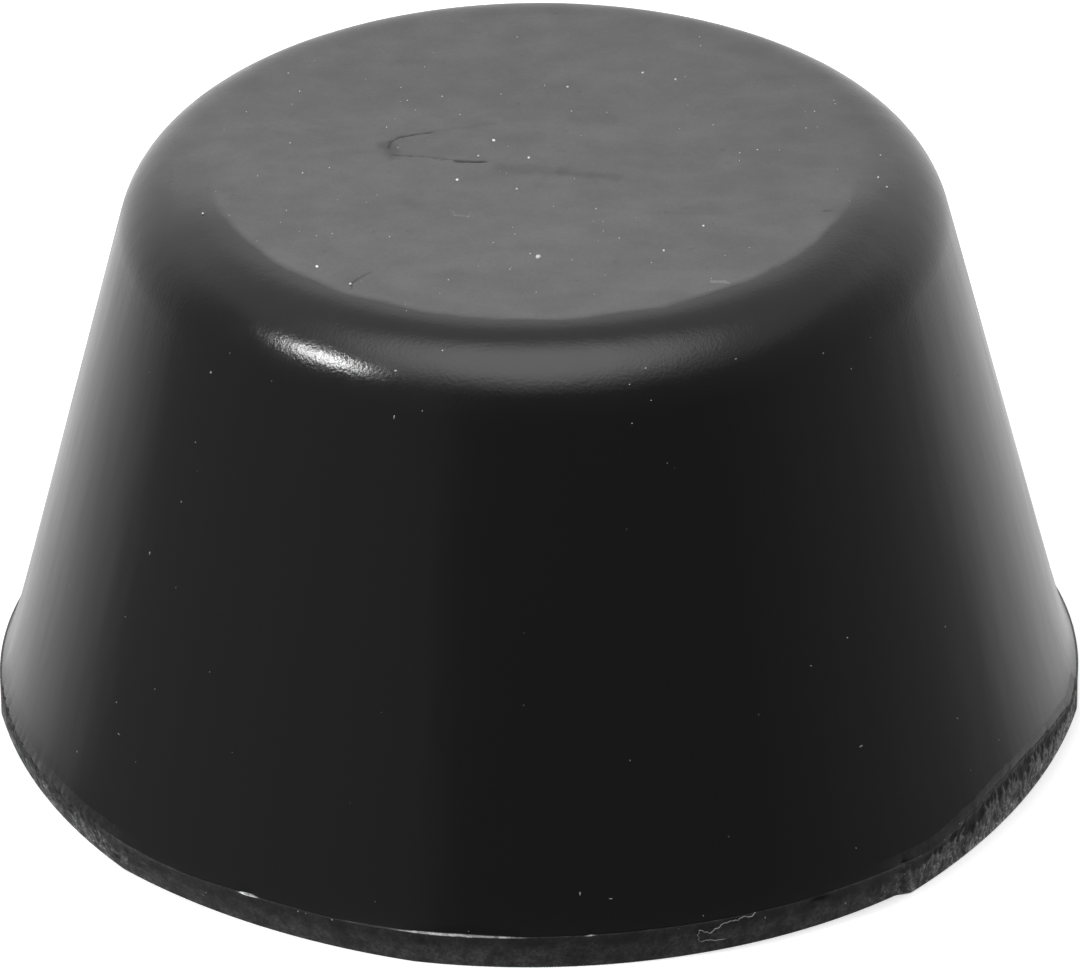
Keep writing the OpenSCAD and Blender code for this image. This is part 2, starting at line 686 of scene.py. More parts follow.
def cut_top_patch(bm, marks, patch, pad_h, layer):
    """A fine patch of the top face with its cracks sunk in, and a layer that says how dark their painted
    shade is.
    """
    low_x, high_x, low_y, high_y = patch
    wide, deep = high_x - low_x, high_y - low_y
    place = Matrix.Translation(((low_x + high_x) / 2, (low_y + high_y) / 2, pad_h))
    size = Matrix.Diagonal((wide / 2, deep / 2, 1, 1))
    made = bmesh.ops.create_grid(
        bm,
        x_segments=round(wide / PATCH_STEP),
        y_segments=round(deep / PATCH_STEP),
        size=1,
        matrix=place @ size,
    )
    for vert in made["verts"]:
        if vert.is_boundary:
            continue
        spot = vert.co.xy
        wobble = CRACK_WANDER * noise.noise((*(spot * WANDER_WAVES), WANDER_SEED))
        rough = CRACK_MEAN + CRACK_ROUGH * noise.noise((*(spot * ROUGH_WAVES), ROUGH_SEED))
        sunk = 0.0
        for line, half_width, depth in marks:
            away, at = near_line(spot, line)
            away = max(0.0, away + wobble)
            sunk = max(sunk, depth * plateau(CRACK_ENDS, at) * rough * math.exp(-((away / half_width) ** 2)))
        vert.co.z -= sunk
        # Painted shade: the deeper a crack is sunk, the darker it is painted.
        vert[layer] = min(1.0, sunk / CRACK_SHADE_DEPTH)


def close_top(bm, layer, section):
    """Closes the top face round its fine patches, and gives its faces."""
    older = set(bm.faces)
    for patch, marks in TOP_PATCHES:
        cut_top_patch(bm, marks, patch, section.top_z, layer)
    open_edges = [edge for edge in bm.edges if edge.is_boundary]
    bmesh.ops.triangle_fill(bm, use_beauty=True, edges=open_edges, normal=(0, 0, 1))
    return [face for face in bm.faces if face not in older]


def azimuth_of(spot):
    """Azimuth of a point, from 0 to 360 degrees."""
    return round(math.degrees(math.atan2(spot.y, spot.x)) % 360, 3)


def refine_torn_band(bm, station, first, last):
    """Doubles the mesh of the band where the cut is torn."""
    rough = []
    for face in bm.faces:
        numbers = [vert[station] for vert in face.verts]
        if min(numbers) >= first + ROUND_ROWS and max(numbers) <= last - ROUND_ROWS:
            azimuth = azimuth_of(face.calc_center_median())
            if any(low < azimuth < high for low, high in TORN_SECTORS):
                rough.append(face)
    edges = list(dict.fromkeys(edge for face in rough for edge in face.edges))
    bmesh.ops.subdivide_edges(bm, edges=edges, cuts=1, use_grid_fill=True)


def band_marks(section, azimuth, z, top, number, last, share):
    """How deep a point of the band lies, how torn and cut it looks there, and its painted shade and the
    painted glint of its lips.
    """
    depth, light, hollow_and_shade = cut_relief(azimuth, z, top, section.base_r)
    fade = share * (1 - smooth_step(last, last + EDGE_ROWS, number))
    depth, light, hollow_and_shade = depth * fade, light * fade, hollow_and_shade * fade
    gloss = min(1.0, (section.lip_round(azimuth) - section.edge_round) / GLOSSY_LIP)
    streak = band_noise(STREAKS, math.radians(azimuth) * section.base_r, number)
    arc = last - ROUND_ROWS - 1
    # Painted shade along the rounded edge above the band.
    if arc <= number <= last + 1:
        dark = EDGE_SHADE + STREAK_SHADE * smooth_step(*STREAK_RANGE, streak)
        if number > last:
            dark *= OVER_SHADE
        hollow_and_shade = max(hollow_and_shade, share * (1 - gloss) * dark)
    # Painted glint on the glossy lips.
    if arc < number <= last:
        light = max(light, gloss * (LIP_GLINT + STREAK_GLINT * streak))
        return depth, light, hollow_and_shade, share * (1 - gloss)
    if number <= last:
        return depth, light, hollow_and_shade, share
    return depth, light, hollow_and_shade, share * EDGE_CUT * smooth_step(*EDGE_TORN, torn_share(azimuth))


def shape_pad(bm, section, station, marks):
    """Moves each point to its place in its own column, and marks the band's look."""
    first, last = section.band_stations()
    columns = {}
    for vert in bm.verts:
        if math.hypot(vert.co.x, vert.co.y) < ON_AXIS:
            continue
        azimuth = azimuth_of(vert.co)
        if azimuth not in columns:
            column = section.column(azimuth)
            columns[azimuth] = (column, section.cut_share(azimuth), column[last][1])
        column, share, top = columns[azimuth]
        number = round(vert[station] * 2) / 2
        below, above = column[math.floor(number)], column[math.ceil(number)]
        radius, z = (below[0] + above[0]) / 2, (below[1] + above[1]) / 2
        if first <= number <= last + EDGE_ROWS and share > 0:
            depth, *looks = band_marks(section, azimuth, z, top, number, last, share)
            radius -= depth
            for layer, look in zip(marks, looks):
                vert[layer] = look
        turn = math.radians(azimuth)
        vert.co = Vector((radius * math.cos(turn), radius * math.sin(turn), z))


def slot_pad(bm, section, station):
    """Gives each face of the pad its material's slot."""
    first, last = section.band_stations()
    for face in bm.faces:
        numbers = [vert[station] for vert in face.verts]
        spot = face.calc_center_median()
        if spot.z > section.side_top_z:
            face.material_index = TOP_SLOT
        elif max(numbers) <= first:
            face.material_index = UNDER_SLOT
        elif min(numbers) >= first - 1 and max(numbers) <= last + EDGE_ROWS:
            cut = section.cut_share(azimuth_of(spot)) > CUT_SEEN
            face.material_index = CUT_SLOT if cut else SIDE_SLOT


def mould_pad(sizes, materials):
    """The pad: a turned moulding whose land is cut back as the knife left it."""
    section = Section(sizes)
    bm = bmesh.new()
    layers = bm.verts.layers.float
    # The crack layer carries the painted shade of the cracks in the top.
    station, crack_shade = layers.new("station"), layers.new("crack_shade")
    # The hollow layer carries painted shade: in the cut's hollows, gaps, pits and pocks, and on the edge
    # above it.
    marks = [layers.new(name) for name in ("torn", "hollow_and_shade", "cut")]
    plain = section.column(90)
    spin_sectors(bm, plain, station, math.pi, sizes.front_columns)
    spin_sectors(bm, plain, station, 0.0, sizes.back_columns)
    bmesh.ops.remove_doubles(bm, verts=bm.verts, dist=SAME_POINT)
    refine_torn_band(bm, station, *section.band_stations())
    shape_pad(bm, section, station, marks)
    slot_pad(bm, section, station)
    for face in close_top(bm, crack_shade, section):
        face.material_index = TOP_SLOT
    bmesh.ops.recalc_face_normals(bm, faces=bm.faces)
    pad = finish_mesh("pad_rubber", bm, materials)
    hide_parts(PAD_NODE)


# ---------------------------------------------------------------- dust

# The larger specks of dust on the top face: x, y and width in millimetres.
TOP_SPECKS = [
    (0.2, -11.3, 0.42),
    (-18.9, -5.7, 0.2),
    (-12.3, -12.2, 0.24),
    (-10.4, -14.3, 0.24),
    (-2.3, 2.9, 0.26),
    (-0.3, 0.7, 0.22),
    (6.4, 11.2, 0.2),
    (8.3, 10.3, 0.2),
    (2.0, 9.5, 0.2),
    (9.6, -7.8, 0.18),
    (7.3, -10.7, 0.18),
    (-4.4, -1.9, 0.22),
    (-1.0, -3.1, 0.17),
    (-3.2, 1.0, 0.17),
]

# Specks on the side: azimuth, height, width and length upwards in millimetres.
SIDE_SPECKS = [
    (213.5, 14.2, 0.11, 0.11),
    (221.0, 11.4, 0.11, 0.11),
    (216.5, 7.7, 0.34, 0.11),
    (215.0, 9.3, 0.11, 0.11),
    (209.7, 5.0, 0.11, 0.11),
    (250.7, 31.0, 0.11, 0.38),
    (250.0, 33.3, 0.24, 0.13),
    (220.8, 30.2, 0.22, 0.2),
    (215.7, 18.5, 0.1, 0.36),
    (308.8, 15.9, 0.13, 0.13),
    (308.2, 9.6, 0.36, 0.18),
    (324.6, 13.5, 0.13, 0.13),
    (323.3, 8.2, 0.13, 0.13),
    (329.7, 5.3, 0.13, 0.13),
    (293.8, 1.7, 0.13, 0.2),
    (303.5, 1.0, 0.18, 0.18),
    (287.0, 2.6, 0.13, 0.11),
    (274.1, 4.6, 0.1, 0.34),
    (277.3, 4.2, 0.3, 0.1),
    (220.3, 26.0, 0.11, 0.11),
    (287.2, 28.4, 0.11, 0.11),
    (282.8, 30.9, 0.13, 0.11),
    (285.7, 32.0, 0.11, 0.11),
    (312.9, 31.9, 0.13, 0.11),
    (256.1, 34.3, 0.11, 0.11),
    (354.1, 34.92, 0.34, 0.12),
    (2.0, 34.9, 0.12, 0.14),
    (285.7, 33.5, 0.11, 0.11),
    (283.0, 32.9, 0.11, 0.11),
    (299.1, 33.1, 0.18, 0.1),
    (351.5, 34.8, 0.12, 0.16),
    (244.0, 2.12, 0.2, 0.14),
    (244.9, 2.12, 0.12, 0.16),
    (247.9, 2.1, 0.16, 0.12),
    (232.4, 1.3, 0.22, 0.12),
    (231.9, 1.0, 0.14, 0.12),
]

# A fibre of lint at the front of the base: azimuths and heights along it.
FIBRE_PATH = [
    (292.6, 2.3),
    (292.1, 2.1),
    (291.3, 2.2),
    (290.6, 2.05),
    (289.9, 2.1),
    (288.8, 1.85),
    (287.8, 1.55),
    (287.0, 1.6),
    (286.6, 1.8),
    (286.4, 1.3),
    (286.7, 0.95),
    (288.2, 0.9),
    (289.4, 0.7),
]

# The fibre's radius, its steps between two points, how far it is kinked, by
# which noises, how many radii it lies off the rubber, and its tips' thinness.
FIBRE_R = 0.03
FIBRE_STEPS = 7
FIBRE_KINK = 0.16
KINK_ROUND, KINK_UP = (5, 5, 41.0), (5, 5, 43.0)
FIBRE_LIFT = 3
FIBRE_TIP = 0.5
FIBRE_SIDES = 6

# The tiny specks: how many lie on the top and on the side, the least width
# and how much wider some are, and how long they are as a share of the width.
TINY_ON_TOP, TINY_TOP_W = 95, (0.045, 0.065)
TINY_ON_SIDE, TINY_SIDE_W = 34, (0.05, 0.06)
TINY_LONG = (0.8, 2.0)
TOP_SPECK_LONG = 1.6
DUST_SEED = 7

# Where the side is dusty, in azimuth, and how near its foot and the top.
DUSTY_SIDE = (190, 350)
DUSTY_FOOT, DUSTY_TOP = 0.6, 0.3

# Half the thickness of the specks on the side, and of tiny ones there and on
# the top, and how far a speck is turned and how uneven it is.
SPECK_THICK, TINY_THICK, TINY_TOP_THICK = 0.05, 0.03, DUST_DEPTH * 0.7
SPECK_TURN, SPECK_UNEVEN = 0.6, 0.35

# How deep the cut's relief lies on the whole.
CUT_MEAN = 0.02


def outer_spot(section, azimuth, z):
    """A point on the pad's outer surface and the surface's normal there."""
    turn = math.radians(azimuth)
    facing = Vector((math.cos(turn), math.sin(turn), 0))
    if z > section.side_top_z:
        sine = 1 - (section.top_z - z) / section.crown_r
        radius = section.flat_r + section.crown_r * math.sqrt(max(0.0, 1 - sine * sine))
        lean = math.asin(sine)
    elif z > section.land_top(azimuth):
        radius = section.side_radius(azimuth, z)
        lean = section.draft_angle
    else:
        radius = section.wall_radius(azimuth, z) - CUT_MEAN
        lean = 0.0
    normal = facing * math.cos(lean) + Vector((0, 0, math.sin(lean)))
    return facing * radius + Vector((0, 0, z)), normal


def curve_point(before, start, end, after, share):
    """A point on the smooth curve from start to end, between its neighbours."""
    ahead = (end - before) / 2
    behind = (after - start) / 2
    square, cube = share**2, share**3
    return (
        start * (2 * cube - 3 * square + 1)
        + ahead * (cube - 2 * square + share)
        + end * (3 * square - 2 * cube)
        + behind * (cube - square)
    )


def add_speck(bm, chance, spot, normal, wide, long, thick):
    """One flat, uneven speck that lies on the surface."""
    sideways = Vector((0, 0, 1)).cross(normal)
    if sideways.length < ON_AXIS:
        sideways = Vector((1, 0, 0))
    sideways.normalize()
    upwards = normal.cross(sideways)
    axes = Matrix((sideways * wide / 2, upwards * long / 2, normal * thick)).transposed()
    made = bmesh.ops.create_icosphere(bm, subdivisions=1, radius=1)["verts"]
    twist = Matrix.Rotation(chance.uniform(-SPECK_TURN, SPECK_TURN), 3, "Z")
    for vert in made:
        stretch = 1 - SPECK_UNEVEN * chance.random()
        vert.co = spot + axes @ (twist @ Vector((vert.co.x * stretch, vert.co.y * stretch, vert.co.z)))


def scatter_dust(sizes, material):
    """Specks of dust on the top, the crown and the side."""
    section = Section(sizes)
    chance = random.Random(DUST_SEED)
    bm = bmesh.new()
    up = Vector((0, 0, 1))
    for x, y, wide in TOP_SPECKS:
        spot = Vector((x, y, section.top_z))
        add_speck(bm, chance, spot, up, wide, wide * TOP_SPECK_LONG, DUST_DEPTH)
    for _ in range(TINY_ON_TOP):
        turn = chance.uniform(0, 2 * math.pi)
        away = section.flat_r * math.sqrt(chance.random())
        wide = TINY_TOP_W[0] + TINY_TOP_W[1] * chance.random() ** 2
        spot = Vector((away * math.cos(turn), away * math.sin(turn), section.top_z))
        add_speck(bm, chance, spot, up, wide, wide * TOP_SPECK_LONG, TINY_TOP_THICK)
    for azimuth, z, wide, long in SIDE_SPECKS:
        spot, normal = outer_spot(section, azimuth, z)
        add_speck(bm, chance, spot, normal, wide, long, SPECK_THICK)
    for _ in range(TINY_ON_SIDE):
        azimuth = chance.uniform(*DUSTY_SIDE)
        spot, normal = outer_spot(section, azimuth, chance.uniform(DUSTY_FOOT, section.top_z - DUSTY_TOP))
        wide = TINY_SIDE_W[0] + TINY_SIDE_W[1] * chance.random() ** 2
        add_speck(bm, chance, spot, normal, wide, wide * chance.uniform(*TINY_LONG), TINY_THICK)
    bmesh.ops.recalc_face_normals(bm, faces=bm.faces)
    finish_mesh("dust_specks", bm, [material])


def fibre_line(section):
    """The kinked line of points along the fibre."""
    line = [Vector((azimuth, z, 0)) for azimuth, z in FIBRE_PATH]
    points = []
    for k in range(len(line) - 1):
        before, after = line[max(0, k - 1)], line[min(len(line) - 1, k + 2)]
        for step in range(FIBRE_STEPS):
            place = curve_point(before, line[k], line[k + 1], after, step / FIBRE_STEPS)
            along = math.radians(place.x) * section.base_r
            kink_round = FIBRE_KINK * band_noise(KINK_ROUND, along, place.y)
            kink_up = FIBRE_KINK * band_noise(KINK_UP, along, place.y)
            turned = place.x + math.degrees(kink_round / section.base_r)
            spot, normal = outer_spot(section, turned, place.y + kink_up)
            points.append(spot + normal * FIBRE_R * FIBRE_LIFT)
    return points


def lay_fibre(sizes, material):
    """The thin, kinked fibre of lint that clings to the base."""
    points = fibre_line(Section(sizes))
    ends = (0, len(points) - 1)
    bm = bmesh.new()
    rings = []
    for k, spot in enumerate(points):
        along = points[min(ends[1], k + 1)] - points[max(0, k - 1)]
        turn = along.to_track_quat("Z", "Y").to_matrix().to_4x4()
        made = bmesh.ops.create_circle(
            bm,
            segments=FIBRE_SIDES,
            radius=FIBRE_R * (FIBRE_TIP if k in ends else 1),
            cap_ends=k in ends,
            matrix=Matrix.Translation(spot) @ turn,
        )
        rings.append(made["verts"])
    for pair in zip(rings, rings[1:]):
        touching = dict.fromkeys(edge for ring in pair for vert in ring for edge in vert.link_edges)
        loops = [edge for edge in touching if any(set(ring).issuperset(edge.verts) for ring in pair)]
        bmesh.ops.bridge_loops(bm, edges=loops)
    bmesh.ops.recalc_face_normals(bm, faces=bm.faces)
    if bm.calc_volume(signed=True) < 0:
        bmesh.ops.reverse_faces(bm, faces=bm.faces)
    finish_mesh("lint_fibre", bm, [material])


# ---------------------------------------------------------------- materials

# Soft marks on the top face: where each starts and ends, half its width, how
# softly it fades, and how much it lightens or darkens the rubber.
TOP_MARKS = [
    ((-1.9, -0.6), (1.5, -1.0), 0.1, 0.7, -0.17),
    ((1.5, -1.0), (4.7, -1.9), 0.05, 0.5, -0.22),
    ((0.6, -1.4), (0.2, -2.6), 0.1, 0.6, -0.08),
    ((2.8, 5.4), (4.2, 5.4), 0.4, 0.7, -0.14),
    ((-8.45, 2.3), (-8.1, 1.3), 0.2, 0.6, -0.33),
    ((-5.9, 3.9), (-2.4, 5.2), 0.05, 0.35, -0.12),
    ((-12.5, 1.2), (-8.5, 1.6), 0.1, 0.5, -0.08),
    ((16.6, -6.0), (16.9, -6.0), 0.06, 0.2, -0.4),
    ((9.9, -14.55), (11.0, -14.7), 0.03, 0.1, 0.6),
    ((-4.8, -5.65), (-4.5, -6.3), 0.02, 0.12, 0.3),
    ((-4.5, -6.3), (-3.8, -6.5), 0.03, 0.12, 0.4),
    ((-3.8, -6.5), (-3.65, -5.95), 0.02, 0.12, 0.3),
    ((-2.9, 0.05), (-5.6, 0.3), 0.02, 0.12, 0.2),
    ((-7.4, -4.6), (-7.0, -5.2), 0.1, 0.6, -0.1),
    ((9.0, -5.6), (10.5, -5.3), 0.1, 0.5, -0.1),
]

# How a material varies from place to place: the grain of its noise in
# millimetres, the noise's detail and roughness, the span of it that counts,
# and the shares at the low and the high end of that.
TOP_FLOW = dict(size=8, detail=5, rough=0.62, bend=0.8, low=0.3, high=0.7, dark=0.91, light=1.07)
TOP_CLOUD = dict(size=2.5, detail=4, rough=0.6, low=0.3, high=0.7, dark=0.92, light=1.06)
TOP_GRAIN = dict(size=0.2, detail=3, rough=0.7, low=0.2, high=0.8, dark=0.9, light=1.1)
TOP_SPOTS = dict(size=0.6, detail=2, low=0.7, high=0.78, dark=1.0, light=0.72)
CUT_FLECKS = dict(size=0.17, detail=2, rough=0.6, bend=0.5, low=0.57, high=0.62)
DUST_CLOUD = dict(size=1.5, detail=1, low=0.35, high=0.65, dark=0.7, light=1.2)
UNDER_CLOUD = dict(size=6, detail=3, low=0.3, high=0.7, dark=0.8, light=1.2)

# Noises that are used as they are, or more than once.
SKIN_STREAK = dict(size=2.2, detail=4, rough=0.6)
SKIN_WAVE = dict(size=5, detail=3)
SKIN_GRAIN = dict(size=0.2, detail=3, rough=0.6)
CUT_CLOUD = dict(size=1.3, detail=4, rough=0.65)
CUT_GRAIN = dict(size=0.22, detail=4, rough=0.7)
UNDER_GRAIN = dict(size=0.4, detail=4, rough=0.6)
BORDER_WANDER = dict(size=3, detail=3)
BORDER_CLOUD = dict(size=2, detail=4, rough=0.65)
MARK_BEND = dict(size=1.2, detail=3, output="Color")

# Ramps: the values at which each starts and ends, and what it goes from and to.
# Those along an axis or a distance are in millimetres.
# The next two ramps paint shade on the top face: it gets darker towards its back and towards its right.
TOP_BACK_SHADE = (-10, 19, 1.02, 0.9)
TOP_RIGHT_SHADE = (2, 19, 1.0, 0.93)
# Painted shade in the cracks of the top face.
CRACK_SHADE_RAMP = (0.05, 0.9, 1.0, 0.3)
SKIN_SHEEN = (0.3, 0.7, -0.04, 0.03)
BEHIND = (-8, 0)
CRISP_BORDER = (-0.85, -0.2)
FADED_BORDER = (0.4, 4.6)
BORDER_W, CLOUD_W = 0.7, 2.4
CUT_CLOUDED = (0.33, 0.67, 0.6, 1.5)
CUT_LIGHT = (0.3, 0.72, 0.5, 1.8)
# Painted light: the cut band is lighter towards its foot, as if lit from the floor.
PAINTED_FOOT_LIGHT = (0, 2.2, 1.65, 0.9)
CUT_SHEEN = (0.3, 0.7, 0.42, 0.6)
FLECKS_TORN = (0.1, 0.3)
FLECKS_CLOUD = (0.42, 0.54)
FLECKS_LOW = (0.7, 1.8, 1.0, 0.15)
# Painted light and shade on the dust: darker on the side, lighter on the top.
PAINTED_DUST_LIGHT = (30, 34.9, 0.45, 1.2)
UNDER_LIGHT = (0.3, 0.7, 0.9, 1.1)
UNDER_SHEEN = (0.3, 0.7, 0.5, 0.62)

# How much lighter the torn flakes and the painted glint on the lips are, how much darker
# the painted shade of the hollows is, how pale the flecks are beside dust, and how much duller hollows are,
# cut or not.
TORN_AND_GLINT_LIGHT, HOLLOW_SHADE, FLECK_PALE = 3.2, -0.7, 0.9
CUT_DULL, SKIN_DULL = 0.25, 0.3

# How far the crown's grain starts below it and ends above, and its strength.
CROWN_GRAIN = (-6, 1, 0.12, 0.7)

# Relief of the fine grain and the long wave of the skin, of the cut's grain
# and of the underside's: strength and depth in millimetres.
GRAIN_DEEP = 0.02
WAVE_BUMP, WAVE_DEEP = 0.5, 0.12
CUT_DEEP = 0.05
UNDER_BUMP, UNDER_DEEP = 0.4, 0.03

RUBBER_IOR = 1.5
DUST_ROUGHNESS = 0.8
MARK_SHIFT = 1.1
FLOW_STRETCH = (1, 2.2, 1)
STREAK_STRETCH = (1, 1, 0.12)


class Graph:
    """A node tree that is built in plain lines."""

    def __init__(self, tree):
        self.tree = tree
        tree.nodes.clear()

    def add(self, kind, inputs=None, **settings):
        """Adds a node, sets its options, and sets or links its inputs."""
        node = self.tree.nodes.new(kind)
        for name, value in settings.items():
            setattr(node, name, value)
        for name, value in (inputs or {}).items():
            if isinstance(value, bpy.types.NodeSocket):
                self.tree.links.new(value, node.inputs[name])
            else:
                node.inputs[name].default_value = value
        return node

    def math(self, operation, a, b=0.0, c=0.0):
        """A Math node's result."""
        return self.add("ShaderNodeMath", {0: a, 1: b, 2: c}, operation=operation).outputs[0]

    def vector(self, operation, inputs):
        """A Vector Math node's result."""
        outputs = self.add("ShaderNodeVectorMath", inputs, operation=operation).outputs
        return outputs["Value" if operation in ("LENGTH", "DOT_PRODUCT") else "Vector"]

    def product(self, value, *shares):
        """A value times each of some shares."""
        for share in shares:
            value = self.math("MULTIPLY", value, share)
        return value

    def changed(self, mask, change):
        """1, and more or less by a change where a mask is 1."""
        return self.math("MULTIPLY_ADD", mask, change, 1.0)

    def ramp(self, value, low, high, to_low=0.0, to_high=1.0):
        """A smooth rise from to_low to to_high."""
        node = self.add(
            "ShaderNodeMapRange",
            {"Value": value, "From Min": low, "From Max": high, "To Min": to_low, "To Max": to_high},
            interpolation_type="SMOOTHSTEP",
        )
        return node.outputs[0]

    def ramp_mm(self, value, low, high, to_low=0.0, to_high=1.0):
        """A smooth rise between two lengths in millimetres."""
        return self.ramp(value, low * MM, high * MM, to_low, to_high)

    def noise(self, at, size, detail, rough=0.5, bend=0.0, output="Fac"):
        """A noise of a given grain size in millimetres."""
        values = {"Vector": at, "Scale": 1 / (size * MM), "Detail": detail, "Roughness": rough}
        return self.add("ShaderNodeTexNoise", {**values, "Distortion": bend}).outputs[output]

    def clouds(self, at, low, high, dark=0.0, light=1.0, **grain):
        """A noise, spread between dark and light."""
        return self.ramp(self.noise(at, **grain), low, high, dark, light)

    def stretched(self, at, scale):
        """Coordinates, scaled along each axis."""
        return self.add("ShaderNodeMapping", {"Vector": at, "Scale": scale}).outputs[0]

    def mark(self, name):
        """One of the marks that the mesh carries."""
        return self.add("ShaderNodeAttribute", attribute_name=name).outputs["Fac"]

    def mix(self, share, a, b):
        """Two colours, mixed."""
        return self.add("ShaderNodeMix", {0: share, 6: a, 7: b}, data_type="RGBA").outputs[2]

    def tint(self, color, value):
        """A colour property, made darker or lighter."""
        return self.vector("SCALE", {0: color[:], 3: value})

    def bump(self, height, strength, depth, before=None):
        """A relief of a depth in millimetres."""
        values = {"Height": height, "Strength": strength, "Distance": depth * MM}
        if before:
            values["Normal"] = before
        return self.add("ShaderNodeBump", values).outputs[0]

    def surface(self, color, rough, normal=None):
        """The finished surface of the material."""
        values = {"Base Color": color, "Roughness": rough, "IOR": RUBBER_IOR}
        if normal:
            values["Normal"] = normal
        shader = self.add("ShaderNodeBsdfPrincipled", values)
        self.add("ShaderNodeOutputMaterial", {"Surface": shader.outputs[0]})


def solid(color, scale=1.0):
    """A colour property as a socket's four numbers."""
    return (color[0] * scale, color[1] * scale, color[2] * scale, 1)


def grey(value):
    """A grey as a socket's four numbers."""
    return (value, value, value, 1)


def new_material(name):
    """An empty material and its graph."""
    material = bpy.data.materials.new(name)
    material.use_nodes = True
    return material, Graph(material.node_tree)


def object_axis(graph):
    """Object coordinates, each of them alone, and the distance from the pad's axis."""
    at = graph.add("ShaderNodeTexCoord").outputs["Object"]
    axes = graph.add("ShaderNodeSeparateXYZ", {0: at}).outputs
    flat = graph.add("ShaderNodeCombineXYZ", {0: axes[0], 1: axes[1]})
    return at, axes, graph.vector("LENGTH", {0: flat.outputs[0]})


def stroke(graph, at, start, end, half_width, soft):
    """1 along a line on the top face, 0 beyond its width."""
    run = Vector(end) - Vector(start)
    offset = graph.vector("SUBTRACT", {0: at, 1: (*Vector(start) * MM, 0)})
    along = graph.vector("DOT_PRODUCT", {0: offset, 1: (*run / (run.length_squared * MM), 0)})
    share = graph.add("ShaderNodeClamp", {0: along}).outputs[0]
    nearest = graph.vector("SCALE", {0: (*run * MM, 0), 3: share})
    apart = graph.vector("SUBTRACT", {0: offset, 1: nearest})
    away = graph.vector("LENGTH", {0: graph.vector("MULTIPLY", {0: apart, 1: (1, 1, 0)})})
    return graph.ramp_mm(away, half_width, half_width + soft, 1.0, 0.0)


def marked_top(graph, at, axes, finish):
    """The matte top's colour with its painted sheen: cloudy, with flow marks, smudges and scratches, painted
    shade in its cracks, and painted shade towards its back and its right.
    """
    value = graph.product(
        graph.clouds(graph.stretched(at, FLOW_STRETCH), **TOP_FLOW),
        graph.clouds(at, **TOP_CLOUD),
        graph.clouds(at, **TOP_GRAIN),
        # Painted shade: darker towards the back and towards the right.
        graph.ramp_mm(axes[1], *TOP_BACK_SHADE),
        graph.ramp_mm(axes[0], *TOP_RIGHT_SHADE),
        graph.clouds(at, **TOP_SPOTS),
        # Painted shade in the cracks.
        graph.ramp(graph.mark("crack_shade"), *CRACK_SHADE_RAMP),
    )
    shift = graph.vector("SUBTRACT", {0: graph.noise(at, **MARK_BEND), 1: (0.5, 0.5, 0.5)})
    bent = graph.vector("MULTIPLY_ADD", {0: shift, 1: (MARK_SHIFT * MM, MARK_SHIFT * MM, 0), 2: at})
    for *line, change in TOP_MARKS:
        value = graph.product(value, graph.changed(stroke(graph, bent, *line), change))
    return graph.tint(finish.top_color_and_sheen, value)


def matte_share(graph, at, axes, reach, flat_r):
    """1 on the matte top, with a crisp border in front and a cloudy one behind."""
    half = BORDER_W * MM / 2
    wander = graph.math("MULTIPLY_ADD", graph.noise(at, **BORDER_WANDER), BORDER_W * MM, -half)
    low, high = (flat_r + edge for edge in CRISP_BORDER)
    crisp = graph.ramp_mm(graph.math("ADD", reach, wander), low, high, 1.0, 0.0)
    cloud = graph.math("MULTIPLY_ADD", graph.noise(at, **BORDER_CLOUD), CLOUD_W * MM, reach)
    low, high = (flat_r + edge for edge in FADED_BORDER)
    faded = graph.ramp_mm(cloud, low, high, 1.0, 0.0)
    behind = graph.ramp_mm(axes[1], *BEHIND)
    return graph.add("ShaderNodeMix", {0: behind, 2: crisp, 3: faded}).outputs[0]


def moulded_rubber(name, sizes, finish, with_top):
    """Glossy side and crown, which turn matte on the flat top if that is made too."""
    section = Section(sizes)
    material, graph = new_material(name)
    at, axes, reach = object_axis(graph)
    upright = graph.stretched(at, STREAK_STRETCH)
    low, high, duller, shinier = SKIN_SHEEN
    sheen = (finish.skin_roughness + duller, finish.skin_roughness + shinier)
    rough = graph.ramp(graph.noise(upright, **SKIN_STREAK), low, high, *sheen)
    color = solid(finish.skin_color)
    if with_top:
        matte = matte_share(graph, at, axes, reach, section.flat_r)
        color = graph.mix(matte, color, marked_top(graph, at, axes, finish))
        rough = graph.math("MULTIPLY_ADD", matte, finish.top_roughness - finish.skin_roughness, rough)
    below, above, weak, strong = CROWN_GRAIN
    crown = graph.ramp_mm(axes[2], section.side_top_z + below, section.side_top_z + above, weak, strong)
    fine = graph.bump(graph.noise(at, **SKIN_GRAIN), crown, GRAIN_DEEP)
    long = graph.bump(graph.noise(upright, **SKIN_WAVE), WAVE_BUMP, WAVE_DEEP, fine)
    graph.surface(color, rough, long)
    return material


